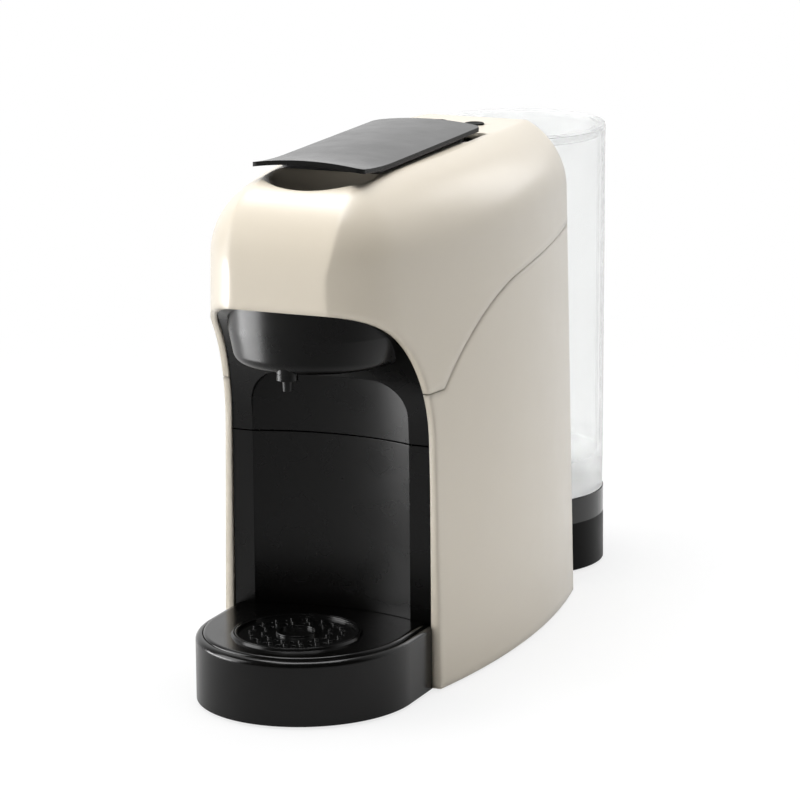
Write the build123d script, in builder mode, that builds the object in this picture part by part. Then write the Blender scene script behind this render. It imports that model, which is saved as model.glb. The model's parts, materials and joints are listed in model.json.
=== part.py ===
"""Pod coffee machine: moulded body with a lever lid, slide-out drip tray and lift-off water tank.

Millimetres. +Z is up, the cup side faces -Y, and the origin is the bottom centre of the whole machine.
"""

from build123d import *
from math import asin, cos, degrees, hypot, radians, sin, sqrt
import os

# Body shell
BODY_HALF = 64.6
SIDE_R = 476.0
WIDEST_Y = -20.0
NOSE_Y = -116.2
TAIL_Y = 100.0
DRAFT = 1.0
WALL = 3.0
FIT = 0.35
FLOOR_GAP = 1.2
TOP_Z = 249.5
ROOF_RISE = 1.5
ROOF_FLAT = 26.6
HEAD_FRONT = -159.5
HEAD_ROUND = 42.5
REAR_WALL = 93.5
REAR_DROP = 2.5
REAR_SLOPE_Y = 20.0
REAR_ROUND = 10.0

# Arched opening of the cup bay, as a circle in the side view
ARCH_R = 71.5
ARCH_Y = -175.0
HEAD_HEIGHT = 55.0
FRAME_RECESS = 1.0
FRAME_BAND = 4.0

# Seam between the upper cover and the side panels
SEAM_RISE = 23.8
SEAM_STEP_Y = -94.0
SEAM_BEND_Y = -66.0
SEAM_BEND_RISE = 46.5
SEAM_CREST_Y = -10.0
SEAM_CREST_RISE = 65.0
SEAM_REAR_RISE = 71.5
SEAM_GAP = 0.5

# Rear panel
REAR_PANEL_HALF = 35.0
REAR_PANEL_DROP = 23.5
VENT_LENGTH = 46.0
VENT_WIDTH = 3.0
VENT_SPACING = 8.0
VENT_COUNT = 6
VENT_DROP = 46.0

# Cup bay and hood
BAY_JAMB = 10.7
BAY_DEPTH = 8.0
BAY_RISE = 29.0
BAY_CORNER = 18.0
BAY_WALL = 3.0
BAY_MARGIN = 0.6
HOOD_RISE = 39.0
HOOD_DRAW_IN = 9.0
HOOD_ROUND = 5.5
HOOD_BOWL = 16.0
HOOD_REACH = 1.2
HOOD_SETBACK = 5.4
HOOD_TOP_SETBACK = 7.0
SPOUT_SETBACK = 9.4
SPOUT_DROP = 8.4
SPOUT_R = 2.4
SPOUT_TAPER = 0.3
SPOUT_BORE = 1.3
SPOUT_STEP = 3.1
SPOUT_COLLAR_R = 5.0
SHANK_R = 3.6
CHANNEL_LIFT = 22.0
CHANNEL_HEIGHT = 6.4
CHANNEL_HALF = 8.0
CHANNEL_WALL = 1.8
CHANNEL_END = 4.2
CHANNEL_REAR = -86.0

# Drawer with drip tray and capsule bin
DRAWER_DROP = 2.8
DRAWER_SEAM = 0.6
LIP_DEPTH = 4.0
DRAWER_SIDE = 12.9
DRAWER_REAR = -24.0
TRAY_OVERLAP = 1.3
TRAY_FRONT = -187.7
TRAY_SHOULDER_Y = -131.5
TRAY_RIM_Z = 32.6
TRAY_WALL = 2.6
TRAY_SIDE = 5.2
COVER_PROUD = 1.2
COVER_INSET = 3.6
COVER_THICK = 3.0
GRID_Y = -143.5
GRID_R = 29.6
GRID_PROUD = 1.4
GRID_THICK = 3.4
GRID_DISH = 1.2
GRID_RIM = 1.4
GRID_HUB = 10.0
GRID_STEP = 6.0
GRID_RINGS = 2
PIP_COUNT = 12
PIP_COUNT_STEP = 6
GRID_HOLE = 1.2
PIP_R = 1.1
PIP_RISE = 1.0
GRID_RING = 1.8
GRID_RING_ANGLE = 30.0
GRID_LEDGE = 3.0
TRAY_EDGE = 3.0
COVER_EDGE = 1.6
BIN_CORNER = 6.0

# Base, feet and tank seat
BASE_THICK = 2.5
FOOT_R = 8.0
FOOT_X = 42.0
FOOT_FRONT_Y = -80.0
FOOT_REAR_X = 24.0
FOOT_BEHIND = 15.7
TANK_GAP = 2.2
TANK_R = 46.0
TANK_TAPER = 1.3
TANK_WALL = 2.2
TANK_DROP = 15.9
SEAT_TOP = 26.6
RING_TOP = 40.0
RING_SETBACK = 0.8
NECK_SETBACK = 8.6
TANK_LID_THICK = 2.0
TANK_LID_EDGE = 0.6
SPIGOT_R = 3.0
VALVE_R = 5.3
VALVE_BRIM = 2.0
VALVE_DOME = 2.0
VALVE_ROOM = 1.0
RING_WALL = 2.6
FOOT_SKIRT = 4.4
LID_PLUG = 4.0
VALVE_CAP = 3.0
SPIGOT_BORE = 1.8
SPIGOT_TAIL = 7.0
SPIGOT_FLANGE = 1.4
SPIGOT_FLANGE_R = 9.0
SPIGOT_LEDGE = 2.0
SEAL_THICK = 0.9
SEAL_FIT = 0.02
GLAND_BEHIND = 11.5
GLAND_Z = 13.0
GLAND_R = 5.0
GLAND_BORE = 3.3
GLAND_FLANGE = 1.6
GLAND_BRIM = 2.0
SCREW_X = 30.0
SCREW_Y = -12.0
SCREW_R = 1.6
SCREW_HEAD = 1.3
SCREW_HEAD_R = 3.2
SCREW_LENGTH = 5.0

# Lid lever and its hinge
LID_HALF = 28.8
LID_REAR = 20.5
LID_FRONT = -126.5
LID_LIFT = 6.8
LID_CROWN_R = 180.0
LID_THICK = 2.2
LIP_START = -88.0
LIP_RISE = 2.6
HINGE_Y = 14.5
HINGE_DEPTH = 3.0
HINGE_PIN_R = 2.0
RUN_FIT = 0.05
EAR_X = 15.0
EAR_THICK = 3.0
CRANK_R = 16.0
CRANK_ANGLE = 40.0
CRANK_PIN_R = 2.5
EAR_R = 4.4
LUG_X = 17.2
LUG_THICK = 3.2
LUG_R = 4.0
LUG_DROP = 2.0
LID_CORNER = 4.0
FRAME_SIDE = 3.3
FRAME_FRONT = -100.0
FRAME_SETBACK = 2.0
FRAME_RIB = 12.0
RIB_SETBACK = 4.0
RIB_SAG = 0.35
SCOOP_R = 50.0
SCOOP_Y = -112.0
SCOOP_DEPTH = 8.5

# Opening under the lid
WELL_HALF = 21.0
WELL_FRONT = -80.0
WELL_STEP = -2.0
WELL_REAR = 28.0
WELL_ROOM = 0.9
WELL_CORNER = 4.0
CAPSULE_SLOT = 35.0
SLOT_CORNER = 8.0
CAPSULE_Y = -61.0
CHUTE_THICK = 3.0
CHUTE_FLANGE = 6.0
CHUTE_LEDGE = 2.0

# Brew unit
BREW_DROP = 37.5
BREW_R = 20.5
CARRIAGE_FRONT = -88.0
CARRIAGE_FACE = -62.0
CARRIAGE_PIN_Y = -77.0
CARRIAGE_PIN_R = 3.0
CARRIAGE_EDGE = 3.0
PIN_ROOT = 2.0
INJECTOR_FACE = -40.0
INJECTOR_REAR = -16.0
INJECTOR_STEP = 1.0
YOKE_HEIGHT = 18.5
PLATE_X = 27.0
PLATE_THICK = 2.5
LINK_X = 21.8
LINK_THICK = 2.4
LINK_HEIGHT = 9.0
LINK_EYE = 8.5
LINK_PLAY = 1.0
CAPSULE_R = 17.5
CAPSULE_DEPTH = 20.0
CAPSULE_ANGLE = 8.0
PLATE_RISE = 10.0
PLATE_CORNER = 3.0
SHELF_FRONT = -70.0
SHELF_DROP = 46.0
SHELF_THICK = 3.0
CHASSIS_Y = -21.0
CHASSIS_HALF = 46.0
CHASSIS_FOOT = 4.0
SHELF_REAR = 72.0
DROP_HALF = 20.0
DROP_CORNER = 5.0

# Buttons
BUTTON_X = 10.0
BUTTON_Y = 57.0
BUTTON_R = 5.0
BUTTON_TRAVEL = 1.5
BUTTON_PROUD = 0.8
BUTTON_STEM = 5.5
BUTTON_DISH_R = 16.0
BUTTON_DISH = 0.5
BUTTON_EDGE = 0.5
STEM_STEP = 1.0
FLANGE_STEP = 1.2
FLANGE_THICK = 1.6
BOARD_DROP = 19.5
BOARD_THICK = 1.6
BOARD_LENGTH = 46.0
BOARD_WIDTH = 28.0
BOARD_CORNER = 2.0
POST_INSET = 5.0
POST_R = 3.0
SWITCH_SIDE = 6.0
PLUNGER_R = 1.7

# Water circuit
PUMP_X = 24.0
PUMP_Z = 19.5
PUMP_R = 15.0
PUMP_FRONT = 15.0
PUMP_REAR = 60.0
PUMP_NECK = 10.0
PUMP_NECK_R = 9.0
PUMP_CAP = 12.0
PUMP_CAP_R = 10.5
NOZZLE = 8.0
NOZZLE_R = 3.0
TUBE_R = 3.0
TUBE_ROOM = 1.0
TUBE_BEND = 6.0
TUBE_TURN = 26.0
TUBE_EXIT = 6.0
HEATER_HALF = 32.0
HEATER_FRONT = 4.0
HEATER_REAR = 66.0
HEATER_THICK = 30.0
HEATER_LEG = 8.0
HEATER_CORNER = 10.0
HEATER_EDGE = 3.0
LEG_INSET = 7.0
LEG_R = 4.0
RISER_Y = 24.0
RISER_FOOT_Y = -11.0
RISER_LOW = 50.0
RISER_HIGH = 25.0
TUBE_LOW = 11.0
CRADLE_THICK = 8.0
SADDLE_INSET = 6.0
CONTROL_SIDE = 18.6
CONTROL_Y = 35.0
CONTROL_LENGTH = 70.0
CONTROL_HEIGHT = 90.0
RELAY_LENGTH = 22.0
RELAY_HEIGHT = 26.0
RELAY_DEPTH = 16.0
CAPACITOR_R = 7.0
CAPACITOR_DEPTH = 18.0
SUPPLY_LENGTH = 26.0
SUPPLY_HEIGHT = 18.0
SUPPLY_DEPTH = 12.0

# Sizes that follow from those above
ROOF_ROUND = BODY_HALF - ROOF_FLAT
ARCH_Z = TOP_Z - HEAD_HEIGHT - ARCH_R
SEAM_FRONT_Z = ARCH_Z + SEAM_RISE
SEAM_BEND = (SEAM_BEND_Y, ARCH_Z + SEAM_BEND_RISE)
SEAM_CREST = (SEAM_CREST_Y, ARCH_Z + SEAM_CREST_RISE)
SEAM_REAR_Z = ARCH_Z + SEAM_REAR_RISE
REAR_PANEL_TOP = TOP_Z - REAR_PANEL_DROP
VENT_Z = REAR_PANEL_TOP - VENT_DROP
BAY_TOP = ARCH_Z + BAY_RISE
HOOD_BOTTOM = ARCH_Z + HOOD_RISE
HOOD_WAIST = HOOD_BOTTOM + HOOD_BOWL
SPOUT_TIP_Z = HOOD_BOTTOM - SPOUT_DROP
CHANNEL_FLOOR = HOOD_BOTTOM + CHANNEL_LIFT
CHANNEL_TOP = CHANNEL_FLOOR + CHANNEL_HEIGHT
DRAWER_TOP = ARCH_Z - DRAWER_DROP
TANK_RIM_Z = TOP_Z - TANK_DROP
BREW_Z = TOP_Z - BREW_DROP
SHELF_Z = BREW_Z - SHELF_DROP
COLUMN_FRONT = ARCH_Y + ARCH_R
BASE_TOP = FLOOR_GAP + BASE_THICK
DRAWER_HALF = BODY_HALF - DRAWER_SIDE
TRAY_HALF = DRAWER_HALF + TRAY_OVERLAP
BAY_HALF = DRAWER_HALF - BAY_JAMB
CONTROL_X = BODY_HALF - CONTROL_SIDE
SPOUT_Y = HEAD_FRONT + SPOUT_SETBACK
CHANNEL_FRONT = SPOUT_Y - CHANNEL_END
COVER_TOP = TRAY_RIM_Z + COVER_PROUD
GRID_TOP = COVER_TOP + GRID_PROUD
TANK_Y = REAR_WALL + TANK_GAP + TANK_R
TANK_FOOT_R = TANK_R - TANK_TAPER
RING_R = TANK_R - RING_SETBACK
NECK_HALF = TANK_R - NECK_SETBACK
FOOT_REAR_Y = TANK_Y + FOOT_BEHIND
GLAND_Y = REAR_WALL + GLAND_BEHIND
LID_TOP = TOP_Z + LID_LIFT
HINGE_Z = TOP_Z - HINGE_DEPTH
FRAME_HALF = LID_HALF - FRAME_SIDE
WELL_REAR_HALF = LID_HALF + WELL_ROOM
SCOOP_Z = TOP_Z + SCOOP_R - SCOOP_DEPTH
BOARD_Z = TOP_Z - BOARD_DROP
BIG = 400.0


def end_circle(y, inset):
    """Radius of the plan's end circle centred at y, and the point where the side arc meets it."""
    side = SIDE_R - inset
    centre_x = BODY_HALF - SIDE_R
    span = hypot(centre_x, y - WIDEST_Y)
    meet = (centre_x - side * centre_x / span, WIDEST_Y + side * (y - WIDEST_Y) / span)
    return side - span, meet


def plan_edges(inset):
    """Outline of the body seen from above: two end circles joined by long side arcs."""
    nose_r, nose = end_circle(NOSE_Y, inset)
    tail_r, tail = end_circle(TAIL_Y, inset)
    half = BODY_HALF - inset
    with BuildLine() as outline:
        ThreePointArc((-nose[0], nose[1]), (0, NOSE_Y - nose_r), nose)
        ThreePointArc(nose, (half, WIDEST_Y), tail)
        ThreePointArc(tail, (0, TAIL_Y + tail_r), (-tail[0], tail[1]))
        ThreePointArc((-tail[0], tail[1]), (-half, WIDEST_Y), (-nose[0], nose[1]))
    return outline.edges()


def body_form(inset, floor):
    """Solid bounded by the body's skin, drawn in by inset and cut level at the floor height."""
    front = HEAD_FRONT + inset
    rear = REAR_WALL - inset
    top = TOP_Z - inset
    round_r = HEAD_ROUND - inset
    with BuildPart() as form:
        with BuildSketch(Plane.XY):
            make_face(plan_edges(inset))
        extrude(amount=TOP_Z + ROOF_RISE - inset, taper=DRAFT)
        fillet(form.faces().sort_by(Axis.Z)[-1].edges(), ROOF_ROUND - inset)
        with BuildSketch(Plane.YZ):
            with BuildLine():
                Line((front, floor), (front, top - round_r))
                RadiusArc((front, top - round_r), (front + round_r, top), round_r)
                Polyline(
                    (front + round_r, top),
                    (REAR_SLOPE_Y, top),
                    (rear, top - REAR_DROP),
                    (rear, floor),
                    (front, floor),
                )
            make_face()
        extrude(amount=BIG, both=True, mode=Mode.INTERSECT)
        rim = form.faces().sort_by(Axis.Y)[-1].edges().sort_by(Axis.Z)[1:]
        fillet(rim, REAR_ROUND - inset)
    return form.part


def arch_space(radius):
    """Space in front of and below the arch, right across the machine."""
    with BuildPart() as space:
        with BuildSketch(Plane.YZ):
            with BuildLine():
                front_y = ARCH_Y + radius
                Polyline((-BIG, ARCH_Z + radius), (-BIG, -BIG), (front_y, -BIG), (front_y, ARCH_Z))
                RadiusArc((front_y, ARCH_Z), (ARCH_Y, ARCH_Z + radius), -radius)
                Line((ARCH_Y, ARCH_Z + radius), (-BIG, ARCH_Z + radius))
            make_face()
        extrude(amount=BIG, both=True)
    return space.part


def above_seam(lift):
    """Everything above the seam line, raised by lift."""
    with BuildPart() as space:
        with BuildSketch(Plane.YZ):
            with BuildLine():
                Line((-BIG, SEAM_FRONT_Z + lift), (SEAM_STEP_Y, SEAM_FRONT_Z + lift))
                rise = ThreePointArc(
                    (SEAM_STEP_Y, SEAM_FRONT_Z + lift),
                    (SEAM_BEND[0], SEAM_BEND[1] + lift),
                    (SEAM_CREST[0], SEAM_CREST[1] + lift),
                )
                level = TangentArc(rise @ 1, (BIG / 2, SEAM_REAR_Z + lift), tangent=rise % 1)
                Polyline(level @ 1, (BIG / 2, BIG), (-BIG, BIG), (-BIG, SEAM_FRONT_Z + lift))
            make_face()
        extrude(amount=BIG, both=True)
    return space.part


def rear_window(gap):
    """Upright slab of the rear wall that the rear panel fills, grown by gap."""
    with BuildPart() as slab:
        with BuildSketch(Plane.XZ.offset(-REAR_WALL - WALL)):
            with BuildLine():
                half = REAR_PANEL_HALF + gap
                top = REAR_PANEL_TOP + gap
                low = BASE_TOP + FIT if gap == 0 else -BIG
                Polyline((-half, low), (half, low), (half, top), (-half, top), close=True)
            make_face()
        extrude(amount=2 * WALL + gap)
    return slab.part


def cup_bay(half, depth, top, corner):
    """Space of the cup bay: a concave back seen from above, rounded top corners seen from the front."""
    front = COLUMN_FRONT + FRAME_RECESS
    wide = half + BAY_MARGIN
    with BuildPart() as bay:
        with BuildSketch(Plane.XY):
            with BuildLine():
                ThreePointArc((-wide, front), (0, front + depth), (wide, front))
                Polyline((wide, front), (wide, -BIG), (-wide, -BIG), (-wide, front))
            make_face()
        extrude(amount=BIG)
        with BuildSketch(Plane.XZ):
            with BuildLine():
                FilletPolyline((-half, -BIG), (-half, top), (half, top), (half, -BIG), radius=corner)
                Line((half, -BIG), (-half, -BIG))
            make_face()
        extrude(amount=BIG, both=True, mode=Mode.INTERSECT)
    return bay.part


def across(x):
    """Side-view plane at a distance x from the middle."""
    return Plane.YZ.offset(x)


outer = body_form(0, FLOOR_GAP)
inner = body_form(WALL, -1)
lining = body_form(WALL + FIT, -1)
arch = arch_space(ARCH_R)
frame_arch = arch_space(ARCH_R + FRAME_RECESS)

with BuildPart() as scoop_wall:
    add(outer)
    with Locations((0, SCOOP_Y, SCOOP_Z)):
        Sphere(SCOOP_R + WALL, mode=Mode.INTERSECT)

# Upper cover: head, top and upper sides in one moulding, with the finger scoop and the lid's well
with BuildPart() as upper_cover:
    add(outer)
    add(inner, mode=Mode.SUBTRACT)
    add(scoop_wall.part)
    with Locations((0, SCOOP_Y, SCOOP_Z)):
        Sphere(SCOOP_R, mode=Mode.SUBTRACT)
    add(arch, mode=Mode.SUBTRACT)
    add(above_seam(SEAM_GAP), mode=Mode.INTERSECT)
    add(rear_window(SEAM_GAP), mode=Mode.SUBTRACT)
    with BuildSketch(Plane.XY.offset(TOP_Z - 2 * WALL)):
        with Locations((0, (WELL_FRONT + WELL_REAR) / 2)):
            Rectangle(2 * WELL_HALF, WELL_REAR - WELL_FRONT)
        with Locations((0, (WELL_STEP + WELL_REAR) / 2)):
            RectangleRounded(2 * WELL_REAR_HALF, WELL_REAR - WELL_STEP, WELL_CORNER)
    extrude(amount=4 * WALL, mode=Mode.SUBTRACT)
    button_top = TOP_Z - REAR_DROP * (BUTTON_Y - REAR_SLOPE_Y) / (REAR_WALL - REAR_SLOPE_Y)
    with BuildSketch(Plane.XY.offset(BOARD_Z + BOARD_THICK)):
        with Locations((0, BUTTON_Y)):
            with GridLocations(BOARD_LENGTH - 2 * POST_INSET, BOARD_WIDTH - 2 * POST_INSET, 2, 2):
                Circle(POST_R)
    extrude(amount=button_top - WALL / 2 - BOARD_Z - BOARD_THICK)
    with Locations((-BUTTON_X, BUTTON_Y, button_top), (BUTTON_X, BUTTON_Y, button_top)):
        Cylinder(BUTTON_R + FIT, 4 * WALL, mode=Mode.SUBTRACT)


def front_lip(side):
    """Return along the front edge of a side panel, closing the space beside the drawer."""
    with BuildPart() as lip:
        with BuildSketch(Plane.XY.offset(FLOOR_GAP)):
            with Locations((side * (DRAWER_HALF + 2 * FIT + BIG / 2), COLUMN_FRONT + LIP_DEPTH / 2)):
                Rectangle(BIG, LIP_DEPTH)
        extrude(amount=DRAWER_TOP + DRAWER_SEAM - FLOOR_GAP - FIT)
        add(outer, mode=Mode.INTERSECT)
    return lip.part


def side_panel(side):
    """Lower side panel of one side, from the arch round to the rear panel."""
    with BuildPart() as panel:
        add(outer)
        add(inner, mode=Mode.SUBTRACT)
        add(arch, mode=Mode.SUBTRACT)
        add(above_seam(0), mode=Mode.SUBTRACT)
        add(rear_window(SEAM_GAP), mode=Mode.SUBTRACT)
        split(bisect_by=Plane.YZ, keep=Keep.TOP if side > 0 else Keep.BOTTOM)
        add(front_lip(side))
    return panel


right_side_panel = side_panel(1)
left_side_panel = side_panel(-1)

# Rear panel: flat wall behind the body with vent slots and the hole for the water tube
with BuildPart() as rear_panel:
    add(outer)
    add(inner, mode=Mode.SUBTRACT)
    add(rear_window(0), mode=Mode.INTERSECT)
    with BuildSketch(Plane.XZ.offset(-REAR_WALL - WALL)):
        with Locations((0, VENT_Z)):
            with GridLocations(1, VENT_SPACING, 1, VENT_COUNT):
                SlotOverall(VENT_LENGTH, VENT_WIDTH)
        with Locations((PUMP_X, PUMP_Z)):
            Circle(TUBE_R + TUBE_ROOM)
    extrude(amount=3 * WALL, mode=Mode.SUBTRACT)

with BuildPart() as hood:
    hood_top = ARCH_Z + ARCH_R + 2 * WALL
    for level, draw_in, shift in (
        (hood_top, 0, -HOOD_TOP_SETBACK),
        (HOOD_WAIST, HOOD_DRAW_IN / 4, -HOOD_SETBACK),
        (HOOD_BOTTOM, HOOD_DRAW_IN, HOOD_REACH),
    ):
        with BuildSketch(Plane.XY.offset(level)):
            with Locations((0, -shift)):
                inset = WALL + FIT + level * sin(radians(DRAFT)) + draw_in
                add(make_face(plan_edges(inset), mode=Mode.PRIVATE))
    loft(ruled=True)
    fillet(hood.faces().sort_by(Axis.Z)[0].edges(), HOOD_ROUND)
    with Locations((0, SPOUT_Y, HOOD_BOTTOM)):
        Cylinder(SPOUT_COLLAR_R, HOOD_WAIST - HOOD_BOTTOM, align=(Align.CENTER, Align.CENTER, Align.MIN))
    add(frame_arch, mode=Mode.INTERSECT)
    add(lining, mode=Mode.INTERSECT)

# Front frame: black arch band round the bay, the bay's upper wall and the hood over the cup
with BuildPart() as front_frame:
    back = COLUMN_FRONT + FRAME_RECESS + BAY_DEPTH + BAY_WALL
    band_r = ARCH_R + FRAME_RECESS + FRAME_BAND
    ceiling = BAY_TOP + BAY_WALL
    band_y = ARCH_Y + sqrt(band_r**2 - (ceiling - ARCH_Z) ** 2)
    with BuildSketch(Plane.YZ):
        with BuildLine():
            start = (HEAD_FRONT + WALL + FIT, DRAWER_TOP + DRAWER_SEAM)
            band_front = ARCH_Z + sqrt(band_r**2 - (start[0] - ARCH_Y) ** 2)
            Polyline((start[0], band_front), start, (back, start[1]), (back, ceiling), (band_y, ceiling))
            RadiusArc((band_y, ceiling), (start[0], band_front), -band_r)
        make_face()
    extrude(amount=BIG, both=True)
    add(lining, mode=Mode.INTERSECT)
    add(frame_arch, mode=Mode.SUBTRACT)
    add(cup_bay(BAY_HALF, BAY_DEPTH, BAY_TOP, BAY_CORNER), mode=Mode.SUBTRACT)
    add(hood.part)
    with Locations((0, SPOUT_Y, 0)):
        Cylinder(SHANK_R + RUN_FIT, BIG, align=(Align.CENTER, Align.CENTER, Align.MIN), mode=Mode.SUBTRACT)
    with BuildSketch(Plane.XY.offset(CHANNEL_FLOOR - FIT)):
        with Locations((0, (CHANNEL_FRONT + COLUMN_FRONT) / 2 - FIT / 2)):
            Rectangle(2 * (CHANNEL_HALF + FIT), COLUMN_FRONT - CHANNEL_FRONT + FIT)
    extrude(amount=BIG, mode=Mode.SUBTRACT)

# Spout: stepped nozzle with a shank up through the hood
with BuildPart() as spout:
    with BuildSketch(Plane.XZ.offset(-SPOUT_Y)):
        with BuildLine():
            Polyline(
                (SPOUT_BORE, SPOUT_TIP_Z),
                (SPOUT_R - SPOUT_TAPER, SPOUT_TIP_Z),
                (SPOUT_R, HOOD_BOTTOM - SPOUT_STEP),
                (SPOUT_COLLAR_R, HOOD_BOTTOM - SPOUT_STEP),
                (SPOUT_COLLAR_R, HOOD_BOTTOM),
                (SHANK_R, HOOD_BOTTOM),
                (SHANK_R, CHANNEL_FLOOR - FIT),
                (SPOUT_BORE, CHANNEL_FLOOR - FIT),
                close=True,
            )
        make_face()
    revolve(axis=Axis((0, SPOUT_Y, 0), (0, 0, 1)))

# Coffee channel: open trough from under the brew unit to the spout
with BuildPart() as coffee_channel:
    with BuildSketch(Plane.XZ.offset(-CHANNEL_FRONT)):
        with BuildLine():
            half = CHANNEL_HALF
            low = CHANNEL_FLOOR
            Polyline(
                (-half, low),
                (half, low),
                (half, CHANNEL_TOP),
                (half - CHANNEL_WALL, CHANNEL_TOP),
                (half - CHANNEL_WALL, low + CHANNEL_WALL),
                (CHANNEL_WALL - half, low + CHANNEL_WALL),
                (CHANNEL_WALL - half, CHANNEL_TOP),
                (-half, CHANNEL_TOP),
                close=True,
            )
        make_face()
    extrude(amount=CHANNEL_FRONT - CHANNEL_REAR)
    with Locations((0, SPOUT_Y, CHANNEL_FLOOR)):
        Cylinder(SPOUT_BORE, BIG, mode=Mode.SUBTRACT)
    front_wall = Plane.XZ.offset(-CHANNEL_FRONT)
    with BuildSketch(front_wall):
        with Locations((0, (CHANNEL_FLOOR + CHANNEL_TOP) / 2)):
            Rectangle(2 * CHANNEL_HALF, CHANNEL_TOP - CHANNEL_FLOOR)
    extrude(amount=-CHANNEL_WALL)

# Base plate: floor of the machine, with a round lobe under the water tank
with BuildPart() as base_plate:
    with BuildSketch(Plane.XY.offset(FLOOR_GAP)):
        make_face(plan_edges(WALL + FIT))
        plate_front = COLUMN_FRONT + LIP_DEPTH + FIT
        plate_rear = REAR_WALL - WALL - FIT
        with Locations((0, (plate_front + plate_rear) / 2)):
            Rectangle(BIG, plate_rear - plate_front, mode=Mode.INTERSECT)
    extrude(amount=BASE_THICK)
    add(lining, mode=Mode.INTERSECT)
    with BuildSketch(Plane.XY.offset(FLOOR_GAP)):
        with Locations((0, TANK_Y)):
            Circle(RING_R - WALL - FIT)
        with Locations((0, (REAR_WALL + TANK_Y) / 2 - WALL)):
            Rectangle(2 * (NECK_HALF - WALL - FIT), TANK_Y - REAR_WALL + 2 * WALL)
    extrude(amount=BASE_THICK)
    with Locations(Plane.XY.offset(FLOOR_GAP)):
        with Locations((0, SCREW_Y)):
            with GridLocations(2 * SCREW_X, 1, 2, 1):
                Cylinder(SCREW_HEAD_R + FIT, 2 * SCREW_HEAD, mode=Mode.SUBTRACT)
                Cylinder(SCREW_R + RUN_FIT, BIG, mode=Mode.SUBTRACT)

# Feet: four rubber pads under the base plate
with BuildPart() as feet:
    with BuildSketch(Plane.XY):
        with Locations((0, FOOT_FRONT_Y)):
            with GridLocations(2 * FOOT_X, 1, 2, 1):
                Circle(FOOT_R)
        with Locations((0, FOOT_REAR_Y)):
            with GridLocations(2 * FOOT_REAR_X, 1, 2, 1):
                Circle(FOOT_R)
    extrude(amount=FLOOR_GAP)
    fillet(feet.edges().group_by(Axis.Z)[0], FLOOR_GAP / 3)

# Screws that hold the chassis down on the base plate
with BuildPart() as base_screws:
    with BuildSketch(Plane.XY.offset(FLOOR_GAP + SCREW_HEAD)):
        with Locations((0, SCREW_Y)):
            with GridLocations(2 * SCREW_X, 1, 2, 1):
                Circle(SCREW_R)
    extrude(amount=SCREW_LENGTH)
    with BuildSketch(Plane.XY.offset(FLOOR_GAP + FIT / 2)):
        with Locations((0, SCREW_Y)):
            with GridLocations(2 * SCREW_X, 1, 2, 1):
                Circle(SCREW_HEAD_R)
    extrude(amount=SCREW_HEAD - FIT / 2)

# Tank base: half-round housing behind the body that carries the water tank
with BuildPart() as tank_base:
    with BuildSketch(Plane.XY.offset(FLOOR_GAP)):
        with Locations((0, TANK_Y)):
            Circle(RING_R)
        with Locations((0, (REAR_WALL + FIT + TANK_Y) / 2)):
            Rectangle(2 * NECK_HALF, TANK_Y - REAR_WALL - FIT)
    extrude(amount=SEAT_TOP - FLOOR_GAP)
    with BuildSketch(Plane.XY.offset(FLOOR_GAP)):
        with Locations((0, TANK_Y)):
            Circle(RING_R - WALL)
        with Locations((0, (REAR_WALL + TANK_Y) / 2)):
            Rectangle(2 * (NECK_HALF - WALL), TANK_Y - REAR_WALL)
    extrude(amount=SEAT_TOP - FLOOR_GAP - WALL, mode=Mode.SUBTRACT)
    with Locations((0, TANK_Y, SEAT_TOP)):
        Cylinder(SPIGOT_FLANGE_R - SPIGOT_LEDGE, 4 * WALL, mode=Mode.SUBTRACT)
    with Locations(Plane.YZ.offset(-NECK_HALF)):
        with Locations((GLAND_Y, GLAND_Z)):
            Cylinder(GLAND_R + RUN_FIT, 4 * WALL, mode=Mode.SUBTRACT)

# Cord gland: bush for the mains lead in the side of the tank base
with BuildPart() as cord_gland:
    with BuildSketch(Plane.YZ.offset(-NECK_HALF - GLAND_FLANGE)):
        with Locations((GLAND_Y, GLAND_Z)):
            Circle(GLAND_R + GLAND_BRIM)
    extrude(amount=GLAND_FLANGE)
    with BuildSketch(Plane.YZ.offset(-NECK_HALF)):
        with Locations((GLAND_Y, GLAND_Z)):
            Circle(GLAND_R)
    extrude(amount=WALL + GLAND_FLANGE)
    with Locations(Plane.YZ.offset(-NECK_HALF)):
        with Locations((GLAND_Y, GLAND_Z)):
            Cylinder(GLAND_BORE, BIG, mode=Mode.SUBTRACT)


def turned(points):
    """Solid turned about the tank's axis from a closed outline of radius and height."""
    with BuildPart() as solid:
        with BuildSketch(Plane.XZ.offset(-TANK_Y)):
            with BuildLine():
                Polyline(*points, close=True)
            make_face()
        revolve(axis=Axis((0, TANK_Y, 0), (0, 0, 1)))
    return solid


# Tank ring: glossy band on the tank base round the tank's foot
tank_ring = turned(
    [
        (RING_R - RING_WALL, SEAT_TOP),
        (RING_R, SEAT_TOP),
        (RING_R, RING_TOP),
        (RING_R - RING_WALL, RING_TOP),
    ]
)

# Water tank: clear tapered drum with a stepped foot and an outlet boss
foot_r = RING_R - RING_WALL - FIT
floor_z = SEAT_TOP + FOOT_SKIRT
tank = turned(
    [
        (VALVE_R + RUN_FIT, floor_z),
        (foot_r - TANK_WALL, floor_z),
        (foot_r - TANK_WALL, SEAT_TOP + FIT),
        (foot_r, SEAT_TOP + FIT),
        (foot_r, RING_TOP + FIT),
        (TANK_FOOT_R, RING_TOP + FIT),
        (TANK_R, TANK_RIM_Z),
        (TANK_R - TANK_WALL, TANK_RIM_Z),
        (TANK_FOOT_R - TANK_WALL, RING_TOP + FIT + TANK_WALL),
        (foot_r - TANK_WALL, RING_TOP + FIT + TANK_WALL),
        (foot_r - TANK_WALL, floor_z + TANK_WALL),
        (VALVE_R + RUN_FIT, floor_z + TANK_WALL),
    ]
)

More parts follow.
